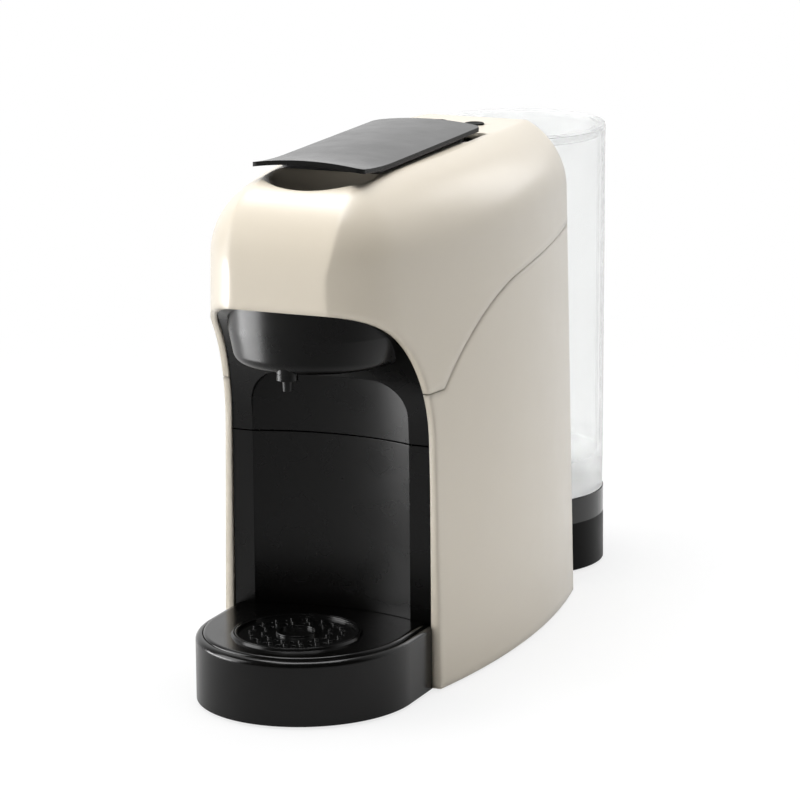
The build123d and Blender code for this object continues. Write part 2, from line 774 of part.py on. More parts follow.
# Tank lid: clear disc with a plug rim
tank_lid = turned(
    [
        (0, TANK_RIM_Z + FIT / 2),
        (TANK_R - TANK_WALL - 3 * FIT - TANK_WALL, TANK_RIM_Z + FIT / 2),
        (TANK_R - TANK_WALL - 3 * FIT - TANK_WALL, TANK_RIM_Z - LID_PLUG),
        (TANK_R - TANK_WALL - 3 * FIT, TANK_RIM_Z - LID_PLUG),
        (TANK_R - TANK_WALL - 3 * FIT, TANK_RIM_Z + FIT / 2),
        (TANK_R, TANK_RIM_Z + FIT / 2),
        (TANK_R, TANK_RIM_Z + TANK_LID_THICK - TANK_LID_EDGE),
        (TANK_R - TANK_LID_EDGE, TANK_RIM_Z + TANK_LID_THICK),
        (0, TANK_RIM_Z + TANK_LID_THICK),
    ]
)

# Tank valve: rubber outlet valve in the floor of the tank
valve_low = SEAT_TOP + SPIGOT_FLANGE + FIT
tank_valve = turned(
    [
        (SPIGOT_R + SEAL_THICK + RUN_FIT, valve_low),
        (VALVE_R, valve_low),
        (VALVE_R, floor_z + TANK_WALL),
        (VALVE_R + VALVE_BRIM, floor_z + TANK_WALL),
        (VALVE_R + VALVE_BRIM, floor_z + TANK_WALL + VALVE_CAP),
        (0, floor_z + TANK_WALL + VALVE_CAP + VALVE_DOME),
        (0, floor_z + TANK_WALL + VALVE_CAP),
        (SPIGOT_R + SEAL_THICK + RUN_FIT, floor_z + TANK_WALL + VALVE_ROOM),
    ]
)

# Water spigot: pipe in the tank base that opens the valve, with a hose tail below
water_spigot = turned(
    [
        (SPIGOT_BORE, SEAT_TOP - SPIGOT_TAIL),
        (SPIGOT_R, SEAT_TOP - SPIGOT_TAIL),
        (SPIGOT_R, SEAT_TOP),
        (SPIGOT_FLANGE_R, SEAT_TOP),
        (SPIGOT_FLANGE_R, SEAT_TOP + SPIGOT_FLANGE),
        (SPIGOT_R, SEAT_TOP + SPIGOT_FLANGE),
        (SPIGOT_R, floor_z + TANK_WALL),
        (SPIGOT_BORE, floor_z + TANK_WALL),
    ]
)

# Spigot seal: rubber sleeve between the spigot and the valve
spigot_seal = turned(
    [
        (SPIGOT_R + SEAL_FIT, SEAT_TOP + SPIGOT_FLANGE),
        (SPIGOT_R + SEAL_THICK, SEAT_TOP + SPIGOT_FLANGE),
        (SPIGOT_R + SEAL_THICK, floor_z),
        (SPIGOT_R + SEAL_FIT, floor_z),
    ]
)


def tray_edges(inset, rear):
    """Outline of the drip tray from above: straight sides and an elliptical front."""
    half = TRAY_HALF - inset
    reach = TRAY_SHOULDER_Y - TRAY_FRONT - inset
    with BuildLine() as outline:
        EllipticalCenterArc((0, TRAY_SHOULDER_Y), half, reach, start_angle=180, arc_size=180)
        Polyline((half, TRAY_SHOULDER_Y), (half, rear), (-half, rear), (-half, TRAY_SHOULDER_Y))
    return outline.edges()


BAY_FRONT = COLUMN_FRONT + FRAME_RECESS
DECK_LOW = BASE_TOP + FIT
DECK_TOP = DECK_LOW + TRAY_WALL

# Drip tray: basin in front, and a deck behind it that carries the capsule bin
with BuildPart() as drip_tray:
    basin_rear = COLUMN_FRONT - FIT
    with BuildSketch(Plane.XY.offset(FLOOR_GAP)):
        make_face(tray_edges(0, basin_rear))
    extrude(amount=TRAY_RIM_Z - FLOOR_GAP)
    fillet(drip_tray.edges().group_by(Axis.Z)[-1].sort_by(Axis.Y)[:-1], TRAY_EDGE)
    with BuildSketch(Plane.XY.offset(DECK_TOP)):
        make_face(tray_edges(TRAY_SIDE, basin_rear - TRAY_WALL))
    extrude(amount=BIG, mode=Mode.SUBTRACT)
    with BuildSketch(Plane.XY.offset(COVER_TOP - COVER_THICK)):
        make_face(tray_edges(COVER_INSET - FIT, BIG))
    extrude(amount=BIG, mode=Mode.SUBTRACT)
    with BuildSketch(Plane.XY.offset(DECK_LOW)):
        with Locations((0, (basin_rear - TRAY_WALL + DRAWER_REAR) / 2)):
            Rectangle(2 * DRAWER_HALF, DRAWER_REAR - basin_rear + TRAY_WALL)
    extrude(amount=TRAY_WALL)

with BuildPart() as bin_space:
    with BuildSketch(Plane.XY.offset(DECK_TOP + TRAY_WALL)):
        with Locations((0, (BAY_FRONT + DRAWER_REAR) / 2)):
            depth = DRAWER_REAR - BAY_FRONT - 2 * TRAY_WALL
            RectangleRounded(2 * (DRAWER_HALF - TRAY_WALL), depth, BIN_CORNER - TRAY_WALL)
    extrude(amount=BIG)
    add(cup_bay(BAY_HALF + TRAY_WALL, BAY_DEPTH + TRAY_WALL, BIG, BAY_CORNER), mode=Mode.SUBTRACT)

# Capsule bin: container for used capsules, whose front wall is the lower back of the cup bay
with BuildPart() as capsule_bin:
    with BuildSketch(Plane.XY.offset(DECK_TOP)):
        with Locations((0, (BAY_FRONT + DRAWER_REAR) / 2)):
            Rectangle(2 * DRAWER_HALF, DRAWER_REAR - BAY_FRONT)
    extrude(amount=DRAWER_TOP - DECK_TOP)
    fillet(capsule_bin.edges().filter_by(Axis.Z).group_by(Axis.Y)[-1], BIN_CORNER)
    add(cup_bay(BAY_HALF, BAY_DEPTH, BIG, BAY_CORNER), mode=Mode.SUBTRACT)
    add(bin_space.part, mode=Mode.SUBTRACT)

# Tray cover: inset top of the drip tray with the round seat of the grid
with BuildPart() as tray_cover:
    with BuildSketch(Plane.XY.offset(COVER_TOP - COVER_THICK)):
        make_face(tray_edges(COVER_INSET, BAY_FRONT - FIT))
        with BuildLine():
            tongue = ThreePointArc(
                (FIT - BAY_HALF, BAY_FRONT - FIT),
                (0, BAY_FRONT + BAY_DEPTH - 2 * FIT),
                (BAY_HALF - FIT, BAY_FRONT - FIT),
            )
            Line(tongue @ 1, tongue @ 0)
        make_face()
    extrude(amount=COVER_THICK)
    fillet(tray_cover.edges().group_by(Axis.Z)[-1].sort_by(Axis.Y)[:-3], COVER_EDGE)
    with BuildSketch(Plane.XY.offset(COVER_TOP)):
        with Locations((0, GRID_Y)):
            Circle(GRID_R + GRID_RING)
    extrude(amount=GRID_TOP - COVER_TOP, taper=GRID_RING_ANGLE)
    with BuildSketch(Plane.XY.offset(GRID_TOP - GRID_THICK - FIT)):
        with Locations((0, GRID_Y)):
            Circle(GRID_R + FIT)
    extrude(amount=BIG, mode=Mode.SUBTRACT)
    with BuildSketch(Plane.XY):
        with Locations((0, GRID_Y)):
            Circle(GRID_R - GRID_LEDGE)
    extrude(amount=BIG, mode=Mode.SUBTRACT)

# Drip grid: round insert with a raised ring round its plain centre, and rings of pips and drain holes
with BuildPart() as drip_grid:
    with BuildSketch(Plane.XY.offset(GRID_TOP - GRID_THICK)):
        with Locations((0, GRID_Y)):
            Circle(GRID_R)
    extrude(amount=GRID_THICK)
    with BuildSketch(Plane.XY.offset(GRID_TOP - GRID_DISH)):
        with Locations((0, GRID_Y)):
            Circle(GRID_R - GRID_RIM)
    extrude(amount=GRID_DISH, mode=Mode.SUBTRACT)
    with BuildSketch(Plane.XY.offset(GRID_TOP - GRID_DISH)):
        with Locations((0, GRID_Y)):
            Circle(GRID_HUB)
            Circle(GRID_HUB - GRID_RIM, mode=Mode.SUBTRACT)
    extrude(amount=GRID_DISH)
    for ring in range(GRID_RINGS):
        ring_r = GRID_HUB + GRID_STEP * (ring + 1)
        count = PIP_COUNT + PIP_COUNT_STEP * ring
        with BuildSketch(Plane.XY.offset(GRID_TOP - GRID_DISH)):
            with Locations((0, GRID_Y)):
                with PolarLocations(ring_r, count):
                    Circle(PIP_R)
        extrude(amount=PIP_RISE)
        with BuildSketch(Plane.XY):
            with Locations((0, GRID_Y)):
                with PolarLocations(ring_r, count, start_angle=180 / count):
                    Circle(GRID_HOLE)
        extrude(amount=BIG, mode=Mode.SUBTRACT)


def crank_end(angle):
    """Place of the crank pin in the side view, for the crank turned back by angle from straight down."""
    return HINGE_Y + CRANK_R * sin(radians(angle)), HINGE_Z - CRANK_R * cos(radians(angle))


def lever_slot(start, end, width):
    """Bar with round ends between two points of the side view."""
    return SlotCenterPoint(((start[0] + end[0]) / 2, (start[1] + end[1]) / 2), end, width)


crank = crank_end(CRANK_ANGLE)

# Lid: crowned plate with a raised front lip, the lip being turned about a level axis high above
with BuildPart() as lid:
    lip_run = LIP_START - LID_FRONT
    lip_r = (lip_run**2 + LIP_RISE**2) / (2 * LIP_RISE)
    with BuildSketch(Plane.XZ.offset(-LIP_START)) as section:
        with Locations((0, LID_TOP - LID_CROWN_R)):
            Circle(LID_CROWN_R)
        with Locations((0, LID_TOP - LID_CROWN_R - LID_THICK)):
            Circle(LID_CROWN_R, mode=Mode.SUBTRACT)
        with Locations((0, LID_TOP)):
            Rectangle(2 * LID_HALF + LID_CORNER, LID_CROWN_R, mode=Mode.INTERSECT)
    extrude(amount=LIP_START - LID_REAR - LID_CORNER)
    lip_axis = Axis((0, LIP_START, LID_TOP + lip_r), (-1, 0, 0))
    revolve(section.sketch, axis=lip_axis, revolution_arc=degrees(asin(lip_run / lip_r)) + 1)
    with BuildSketch(Plane.XY):
        with Locations((0, (LID_REAR + LID_FRONT) / 2)):
            RectangleRounded(2 * LID_HALF, LID_REAR - LID_FRONT, LID_CORNER)
    extrude(amount=BIG, mode=Mode.INTERSECT)

# Lid frame: stiffener under the lid with two hinge ears that carry the crank pins
with BuildPart() as lid_frame:
    frame_low = TOP_Z + FIT
    frame_rear = LID_REAR - FRAME_SETBACK
    frame_middle = (frame_rear + FRAME_FRONT) / 2
    crown_drop = LID_CROWN_R - sqrt(LID_CROWN_R**2 - FRAME_HALF**2)
    rib_top = LID_TOP - LID_THICK - RIB_SAG
    with BuildSketch(Plane.XY.offset(frame_low)):
        with Locations((0, frame_middle)):
            RectangleRounded(2 * FRAME_HALF, frame_rear - FRAME_FRONT, LID_CORNER)
        for side in (-1, 1):
            with Locations((side * (LUG_X - FIT + BIG / 2), HINGE_Y - 3 * LUG_R + BIG / 2)):
                Rectangle(BIG, BIG, mode=Mode.SUBTRACT)
    extrude(amount=rib_top - crown_drop - frame_low)
    with BuildSketch(Plane.XY.offset(frame_low)):
        with Locations((0, frame_middle)):
            Rectangle(FRAME_RIB, frame_rear - FRAME_FRONT - 2 * RIB_SETBACK)
    extrude(amount=rib_top - frame_low)
    for side in (-1, 1):
        with BuildSketch(across(side * EAR_X - EAR_THICK / 2)):
            lever_slot((HINGE_Y, HINGE_Z), crank, 2 * EAR_R)
            with Locations((HINGE_Y - EAR_R / 2, (HINGE_Z + TOP_Z) / 2 + FIT)):
                Rectangle(3 * EAR_R, TOP_Z - HINGE_Z + 2 * FIT)
            with Locations((HINGE_Y, HINGE_Z)):
                Circle(HINGE_PIN_R + RUN_FIT, mode=Mode.SUBTRACT)
        extrude(amount=EAR_THICK)
        with BuildSketch(across(side * EAR_X)):
            with Locations(crank):
                Circle(CRANK_PIN_R)
        extrude(amount=side * (LINK_X + LINK_THICK + FIT - EAR_X))

# Hinge pin: steel rod through the ears and the chute's lugs
with BuildPart() as hinge_pin:
    with BuildSketch(across(-LUG_X - LUG_THICK)):
        with Locations((HINGE_Y, HINGE_Z)):
            Circle(HINGE_PIN_R)
    extrude(amount=2 * (LUG_X + LUG_THICK))

# Capsule chute: insert in the well under the lid, with the capsule slot and the hinge lugs
with BuildPart() as capsule_chute:
    low = TOP_Z - WALL - FIT - CHUTE_THICK
    with BuildSketch(Plane.XY.offset(low)):
        with Locations((0, (WELL_FRONT + WELL_STEP - CHUTE_LEDGE) / 2)):
            Rectangle(2 * (WELL_HALF + CHUTE_FLANGE), WELL_STEP - WELL_FRONT + CHUTE_LEDGE)
    extrude(amount=CHUTE_THICK)
    add(lining, mode=Mode.INTERSECT)
    with BuildSketch(Plane.XY.offset(low)):
        with Locations((0, (WELL_FRONT + WELL_STEP) / 2)):
            Rectangle(2 * (WELL_HALF - FIT), WELL_STEP - WELL_FRONT - 2 * FIT)
    extrude(amount=TOP_Z - FIT - low)
    with BuildSketch(Plane.XY):
        with Locations((0, CAPSULE_Y)):
            RectangleRounded(CAPSULE_SLOT, CAPSULE_SLOT, SLOT_CORNER)
    extrude(amount=BIG, mode=Mode.SUBTRACT)
    for side in (-1, 1):
        with BuildSketch(across(side * (LUG_X + LUG_THICK / 2) - LUG_THICK / 2)):
            lever_slot((WELL_STEP - LUG_R, HINGE_Z - LUG_DROP), (HINGE_Y, HINGE_Z), 2 * LUG_R)
            with Locations((HINGE_Y, HINGE_Z)):
                Circle(HINGE_PIN_R, mode=Mode.SUBTRACT)
        extrude(amount=LUG_THICK)

# Link bars: join the lid's cranks to the brew carriage, with an upright slot for the lost motion
with BuildPart() as link_bars:
    sag = CRANK_R * (1 - cos(radians(CRANK_ANGLE)))
    slot_at = (CARRIAGE_PIN_Y, BREW_Z + sag / 2)
    for side in (-1, 1):
        with BuildSketch(across(side * (LINK_X + LINK_THICK / 2) - LINK_THICK / 2)):
            lever_slot(slot_at, crank, LINK_HEIGHT)
            with Locations(slot_at):
                Circle(LINK_EYE)
                width = 2 * CARRIAGE_PIN_R + LINK_PLAY
                SlotCenterToCenter(sag + 2 * FIT, width, rotation=90, mode=Mode.SUBTRACT)
            with Locations(crank):
                Circle(CRANK_PIN_R + RUN_FIT, mode=Mode.SUBTRACT)
        extrude(amount=LINK_THICK)

# Brew carriage: sliding half of the brew chamber, with cross pins for the links and guides
with BuildPart() as brew_carriage:
    with BuildSketch(Plane.XZ.offset(-CARRIAGE_FACE)):
        with Locations((0, BREW_Z)):
            Circle(BREW_R)
    extrude(amount=CARRIAGE_FACE - CARRIAGE_FRONT)
    fillet(brew_carriage.faces().sort_by(Axis.Y)[0].edges(), CARRIAGE_EDGE)
    with BuildSketch(Plane.XZ.offset(-CARRIAGE_FACE)):
        with Locations((0, BREW_Z)):
            Circle(CAPSULE_R)
    extrude(amount=CAPSULE_DEPTH, taper=CAPSULE_ANGLE, mode=Mode.SUBTRACT)
    with BuildSketch(across(-PLATE_X - PLATE_THICK)):
        with Locations((CARRIAGE_PIN_Y, BREW_Z)):
            Circle(CARRIAGE_PIN_R)
    extrude(amount=PLATE_X + PLATE_THICK - BREW_R + PIN_ROOT)
    with BuildSketch(across(PLATE_X + PLATE_THICK)):
        with Locations((CARRIAGE_PIN_Y, BREW_Z)):
            Circle(CARRIAGE_PIN_R)
    extrude(amount=-PLATE_X - PLATE_THICK + BREW_R - PIN_ROOT)

# Brew frame: two guide plates and the fixed injector half of the brew chamber
with BuildPart() as brew_frame:
    travel = 2 * CRANK_R * sin(radians(CRANK_ANGLE))
    shelf_top = SHELF_Z + SHELF_THICK
    for side in (-1, 1):
        with BuildSketch(across(side * (PLATE_X + PLATE_THICK / 2) - PLATE_THICK / 2)):
            with BuildLine():
                front = CARRIAGE_PIN_Y - travel - 4 * CARRIAGE_PIN_R
                FilletPolyline(
                    (INJECTOR_REAR, shelf_top),
                    (INJECTOR_REAR, BREW_Z + PLATE_RISE),
                    (front, BREW_Z + PLATE_RISE),
                    (front, BREW_Z - PLATE_RISE),
                    (SHELF_FRONT + PLATE_RISE, shelf_top),
                    radius=PLATE_CORNER,
                )
                Line((SHELF_FRONT + PLATE_RISE, shelf_top), (INJECTOR_REAR, shelf_top))
            make_face()
            with Locations((CARRIAGE_PIN_Y - travel / 2, BREW_Z)):
                SlotCenterToCenter(travel + 2 * FIT, 2 * (CARRIAGE_PIN_R + RUN_FIT), mode=Mode.SUBTRACT)
        extrude(amount=PLATE_THICK)
    with BuildSketch(Plane.XZ.offset(-INJECTOR_REAR)):
        with Locations((0, BREW_Z)):
            Circle(BREW_R - INJECTOR_STEP)
    extrude(amount=INJECTOR_REAR - INJECTOR_FACE)
    with BuildSketch(Plane.XZ.offset(-INJECTOR_REAR)):
        with Locations((0, BREW_Z - BREW_R / 2)):
            Rectangle(2 * PLATE_X, YOKE_HEIGHT)
    extrude(amount=(INJECTOR_REAR - INJECTOR_FACE) / 2)

# Chassis: upright wall behind the bin and the shelf that carries the brew unit and the heater
with BuildPart() as chassis:
    with BuildSketch(Plane.YZ.offset(-CHASSIS_HALF)):
        with BuildLine():
            wall_y = CHASSIS_Y + WALL
            Polyline(
                (CHASSIS_Y, BASE_TOP),
                (CHASSIS_Y, SHELF_Z),
                (SHELF_FRONT, SHELF_Z),
                (SHELF_FRONT, SHELF_Z + SHELF_THICK),
                (SHELF_REAR, SHELF_Z + SHELF_THICK),
                (SHELF_REAR, SHELF_Z),
                (wall_y, SHELF_Z),
                (wall_y, BASE_TOP + CHASSIS_FOOT),
                (SCREW_Y + 2 * SCREW_HEAD_R, BASE_TOP + CHASSIS_FOOT),
                (SCREW_Y + 2 * SCREW_HEAD_R, BASE_TOP),
                close=True,
            )
        make_face()
    extrude(amount=2 * CHASSIS_HALF)
    with BuildSketch(Plane.XY.offset(SHELF_Z - SHELF_THICK / 2)):
        with Locations((0, (SHELF_FRONT + CHASSIS_Y) / 2)):
            RectangleRounded(2 * DROP_HALF, CHASSIS_Y - SHELF_FRONT - 4 * WALL, DROP_CORNER)
        with Locations((PUMP_X, RISER_Y)):
            Circle(TUBE_R + TUBE_ROOM)
    extrude(amount=2 * SHELF_THICK, mode=Mode.SUBTRACT)
    with Locations((0, SCREW_Y, BASE_TOP)):
        with GridLocations(2 * SCREW_X, 1, 2, 1):
            Cylinder(SCREW_R, 2 * SCREW_LENGTH, mode=Mode.SUBTRACT)


def push_button(side):
    """Push button with a dished cap and a retaining flange under the cover."""
    with BuildPart() as button:
        with BuildSketch(Plane.XY.offset(button_top - WALL - BUTTON_STEM)):
            with Locations((side * BUTTON_X, BUTTON_Y)):
                Circle(BUTTON_R - STEM_STEP)
        extrude(amount=BUTTON_STEM)
        with BuildSketch(Plane.XY.offset(button_top - WALL - 2 * FIT - FLANGE_THICK)):
            with Locations((side * BUTTON_X, BUTTON_Y)):
                Circle(BUTTON_R + FLANGE_STEP)
        extrude(amount=FLANGE_THICK)
        with BuildSketch(Plane.XY.offset(button_top - WALL - 2 * FIT)):
            with Locations((side * BUTTON_X, BUTTON_Y)):
                Circle(BUTTON_R)
        extrude(amount=WALL + 2 * FIT + BUTTON_PROUD)
        fillet(button.faces().sort_by(Axis.Z)[-1].edges(), BUTTON_EDGE)
        dish_z = button_top + BUTTON_PROUD + BUTTON_DISH_R - BUTTON_DISH
        with Locations((side * BUTTON_X, BUTTON_Y, dish_z)):
            Sphere(BUTTON_DISH_R, mode=Mode.SUBTRACT)
    return button


button_left = push_button(-1)
button_right = push_button(1)

# Button board: small circuit board on the cover's posts, with a key switch under each button
with BuildPart() as button_board:
    with BuildSketch(Plane.XY.offset(BOARD_Z)):
        with Locations((0, BUTTON_Y)):
            RectangleRounded(BOARD_LENGTH, BOARD_WIDTH, BOARD_CORNER)
    extrude(amount=BOARD_THICK)
    switch_top = button_top - WALL - BUTTON_STEM - BUTTON_TRAVEL - FIT
    with BuildSketch(Plane.XY.offset(BOARD_Z + BOARD_THICK)):
        with Locations((0, BUTTON_Y)):
            with GridLocations(2 * BUTTON_X, 1, 2, 1):
                Rectangle(SWITCH_SIDE, SWITCH_SIDE)
    extrude(amount=(switch_top - BOARD_Z - BOARD_THICK) / 2)
    with BuildSketch(Plane.XY.offset(BOARD_Z + BOARD_THICK)):
        with Locations((0, BUTTON_Y)):
            with GridLocations(2 * BUTTON_X, 1, 2, 1):
                Circle(PLUNGER_R)
    extrude(amount=switch_top - BOARD_Z - BOARD_THICK)

# Pump: vibration pump lying along the machine
outlet_y = PUMP_FRONT - PUMP_NECK - NOZZLE
inlet_y = PUMP_REAR + PUMP_CAP + NOZZLE
with BuildPart() as pump:
    with BuildSketch(Plane.XY.offset(PUMP_Z)):
        with BuildLine():
            Polyline(
                (PUMP_X, outlet_y),
                (PUMP_X + NOZZLE_R, outlet_y),
                (PUMP_X + NOZZLE_R, PUMP_FRONT - PUMP_NECK),
                (PUMP_X + PUMP_NECK_R, PUMP_FRONT - PUMP_NECK),
                (PUMP_X + PUMP_NECK_R, PUMP_FRONT),
                (PUMP_X + PUMP_R, PUMP_FRONT),
                (PUMP_X + PUMP_R, PUMP_REAR),
                (PUMP_X + PUMP_CAP_R, PUMP_REAR),
                (PUMP_X + PUMP_CAP_R, PUMP_REAR + PUMP_CAP),
                (PUMP_X + NOZZLE_R, PUMP_REAR + PUMP_CAP),
                (PUMP_X + NOZZLE_R, inlet_y),
                (PUMP_X, inlet_y),
                close=True,
            )
        make_face()
    revolve(axis=Axis((PUMP_X, 0, PUMP_Z), (0, 1, 0)))

# Pump cradle: two saddles on a strip, standing on the base plate
with BuildPart() as pump_cradle:
    for saddle in (PUMP_FRONT + SADDLE_INSET, PUMP_REAR - SADDLE_INSET - CRADLE_THICK):
        with BuildSketch(Plane.XZ.offset(-saddle - CRADLE_THICK)):
            with Locations((PUMP_X, BASE_TOP + (PUMP_Z - BASE_TOP) / 2)):
                Rectangle(2 * PUMP_R, PUMP_Z - BASE_TOP)
            with Locations((PUMP_X, PUMP_Z)):
                Circle(PUMP_R + FIT, mode=Mode.SUBTRACT)
        extrude(amount=CRADLE_THICK)
    with BuildSketch(Plane.XY.offset(BASE_TOP)):
        with Locations((PUMP_X, (PUMP_FRONT + PUMP_REAR) / 2)):
            Rectangle(2 * PUMP_R, PUMP_REAR - PUMP_FRONT)
    extrude(amount=PUMP_Z - PUMP_R - BASE_TOP - FIT)

# Heater: cast block on four legs over the shelf, with its water port below
with BuildPart() as heater:
    shelf_top = SHELF_Z + SHELF_THICK
    middle = (HEATER_FRONT + HEATER_REAR) / 2
    with BuildSketch(Plane.XY.offset(shelf_top + HEATER_LEG)):
        with Locations((0, middle)):
            RectangleRounded(2 * HEATER_HALF, HEATER_REAR - HEATER_FRONT, HEATER_CORNER)
    extrude(amount=HEATER_THICK)
    fillet(heater.faces().sort_by(Axis.Z)[-1].edges(), HEATER_EDGE)
    with BuildSketch(Plane.XY.offset(shelf_top)):
        with Locations((0, middle)):
            legs_deep = HEATER_REAR - HEATER_FRONT - 2 * LEG_INSET
            with GridLocations(2 * (HEATER_HALF - LEG_INSET), legs_deep, 2, 2):
                Circle(LEG_R)
    extrude(amount=HEATER_LEG)
    with BuildSketch(Plane.XY.offset(shelf_top + HEATER_LEG)):
        with Locations((PUMP_X, RISER_Y)):
            Circle(NOZZLE_R)
    extrude(amount=-HEATER_LEG / 2)

# Control board: upright circuit board with its larger parts
with BuildPart() as control_board:
    with BuildSketch(Plane.YZ.offset(-CONTROL_X)):
        with Locations((CONTROL_Y, BASE_TOP + CONTROL_HEIGHT / 2)):
            Rectangle(CONTROL_LENGTH, CONTROL_HEIGHT)
    extrude(amount=BOARD_THICK)
    with BuildSketch(Plane.YZ.offset(-CONTROL_X + BOARD_THICK)):
        with Locations((CONTROL_Y - CONTROL_LENGTH / 5, BASE_TOP + CONTROL_HEIGHT * 0.6)):
            Rectangle(RELAY_LENGTH, RELAY_HEIGHT)
    extrude(amount=RELAY_DEPTH)
    with BuildSketch(Plane.YZ.offset(-CONTROL_X + BOARD_THICK)):
        with Locations((CONTROL_Y + CONTROL_LENGTH / 5, BASE_TOP + CONTROL_HEIGHT * 0.7)):
            Circle(CAPACITOR_R)
    extrude(amount=CAPACITOR_DEPTH)
    with BuildSketch(Plane.YZ.offset(-CONTROL_X + BOARD_THICK)):
        with Locations((CONTROL_Y + CONTROL_LENGTH / 6, BASE_TOP + CONTROL_HEIGHT * 0.3)):
            Rectangle(SUPPLY_LENGTH, SUPPLY_HEIGHT)
    extrude(amount=SUPPLY_DEPTH)


def tube(points):
    """Water tube along straight runs joined by bends."""
    with BuildPart() as hose:
        with BuildLine() as route:
            FilletPolyline(*points, radius=TUBE_BEND)
        with BuildSketch(Plane(origin=points[0], z_dir=Vector(*points[1]) - Vector(*points[0]))):
            Circle(TUBE_R)
        sweep(path=route.wires()[0])
    return hose


# Suction tube: from the tank's spigot to the pump
suction_tube = tube(
    [
        (0, TANK_Y, SEAT_TOP - SPIGOT_TAIL),
        (0, TANK_Y, TUBE_LOW),
        (PUMP_X, TANK_Y - TUBE_TURN, TUBE_LOW),
        (PUMP_X, REAR_WALL + TUBE_EXIT, PUMP_Z),
        (PUMP_X, inlet_y, PUMP_Z),
    ]
)

# Pressure tube: from the pump up through the shelf to the heater
pressure_tube = tube(
    [
        (PUMP_X, outlet_y, PUMP_Z),
        (PUMP_X, RISER_FOOT_Y, PUMP_Z),
        (PUMP_X, RISER_FOOT_Y, SHELF_Z - RISER_LOW),
        (PUMP_X, RISER_Y, SHELF_Z - RISER_HIGH),
        (PUMP_X, RISER_Y, SHELF_Z + SHELF_THICK + HEATER_LEG / 2),
    ]
)


def finish(builder, name):
    """Labels a finished piece and writes it."""
    builder.part.label = name
    export_step(builder.part, f"parts/{name}.step")


os.makedirs("parts", exist_ok=True)
finish(upper_cover, "upper_cover")
finish(left_side_panel, "left_side_panel")
finish(right_side_panel, "right_side_panel")
finish(rear_panel, "rear_panel")
finish(front_frame, "front_frame")
finish(spout, "spout")
finish(coffee_channel, "coffee_channel")
finish(base_plate, "base_plate")
finish(feet, "feet")
finish(base_screws, "base_screws")
finish(tank_base, "tank_base")
finish(cord_gland, "cord_gland")
finish(tank_ring, "tank_ring")
finish(tank, "tank")
finish(tank_lid, "tank_lid")
finish(tank_valve, "tank_valve")
finish(water_spigot, "water_spigot")
finish(spigot_seal, "spigot_seal")
finish(drip_tray, "drip_tray")
finish(capsule_bin, "capsule_bin")
finish(tray_cover, "tray_cover")
finish(drip_grid, "drip_grid")
finish(lid, "lid")
finish(lid_frame, "lid_frame")
finish(hinge_pin, "hinge_pin")
finish(capsule_chute, "capsule_chute")
finish(link_bars, "link_bars")
finish(brew_carriage, "brew_carriage")
finish(brew_frame, "brew_frame")
finish(chassis, "chassis")
finish(button_left, "button_left")
finish(button_right, "button_right")
finish(button_board, "button_board")
finish(pump, "pump")
finish(pump_cradle, "pump_cradle")
finish(heater, "heater")
finish(control_board, "control_board")
finish(suction_tube, "suction_tube")
finish(pressure_tube, "pressure_tube")
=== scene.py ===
"""Looks of the pod coffee machine: materials, studio floor, light and camera."""

import json
import math

import bpy
from mathutils import Matrix, Vector

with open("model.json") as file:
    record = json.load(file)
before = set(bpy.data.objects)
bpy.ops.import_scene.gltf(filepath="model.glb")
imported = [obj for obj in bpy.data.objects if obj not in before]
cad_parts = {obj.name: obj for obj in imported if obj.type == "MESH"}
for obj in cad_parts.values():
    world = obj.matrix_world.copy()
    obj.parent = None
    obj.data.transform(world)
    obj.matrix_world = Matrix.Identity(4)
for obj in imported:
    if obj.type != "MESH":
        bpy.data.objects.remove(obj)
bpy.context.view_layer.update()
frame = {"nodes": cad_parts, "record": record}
nodes = frame["nodes"]
scene = bpy.context.scene

# Materials: lengths in metres, noise scales in cycles per metre
FLOW_SCALE = 11.0
FLOW_TONES = (0.2, 0.8)
GLOSS_SCALE = 55.0
MARK_SCALE = 900.0
MARK_DEPTH = 0.00002
MARK_SPREAD = 0.08
COAT_ROUGHNESS = 0.22
SMALL_EDGE = 0.0004
EDGE_SAMPLES = 8
TRAY_LEVEL = (0.034, 0.042)
RIM_FACING = (0.35, 0.85)
TANK_TINT_SCALE = 9.0
TANK_GLOSS_SCALE = 40.0
TANK_GRAIN_SCALE = 300.0
TANK_GRAIN_DEPTH = 0.000002
TANK_GRAIN_STRENGTH = 0.5
TANK_ROUGHNESS = (0.22, 0.25)
TANK_CLEAR = (0.35, 0.92)
TANK_BOTTOM = (0.036, 0.070)
TANK_IOR = 1.10

# Studio: places in metres
FLOOR_REACH = 8.0
FLOOR_COLOUR = (0.82, 0.82, 0.82)
FLOOR_NEAR_SHARE = 0.76
FLOOR_NEAR = (0.25, 0.75)
FLOOR_MIRRORED = (0.08, 1.0, -0.45, 0.30)
FLOOR_SHADE = (0.6, 0.0, -0.40, 0.15)
WORLD_FILL = 0.05
WORLD_MIRRORED = (0.0, 1.0, 0.0, 0.60)

# Camera at the photograph's viewpoint: metres, degrees and millimetres of lens
CAMERA_TARGET = Vector((0.0030, -0.0245, 0.1222))
CAMERA_DISTANCE = 2.110
CAMERA_TURN, CAMERA_RISE, CAMERA_ROLL = (math.radians(angle) for angle in (23.37, 13.13, -0.5))
CAMERA_LENS = 191.475
CAMERA_SENSOR = 36.0
CAMERA_FAR = 50.0


# Materials

def new_material(name):
    """Empty node material with its main shader and object coordinates in metres."""
    mat = bpy.data.materials.new(name)
    mat.use_nodes = True
    tree = mat.node_tree
    shader = tree.nodes["Principled BSDF"]
    place = tree.nodes.new("ShaderNodeTexCoord")
    return mat, tree, shader, place.outputs["Object"]


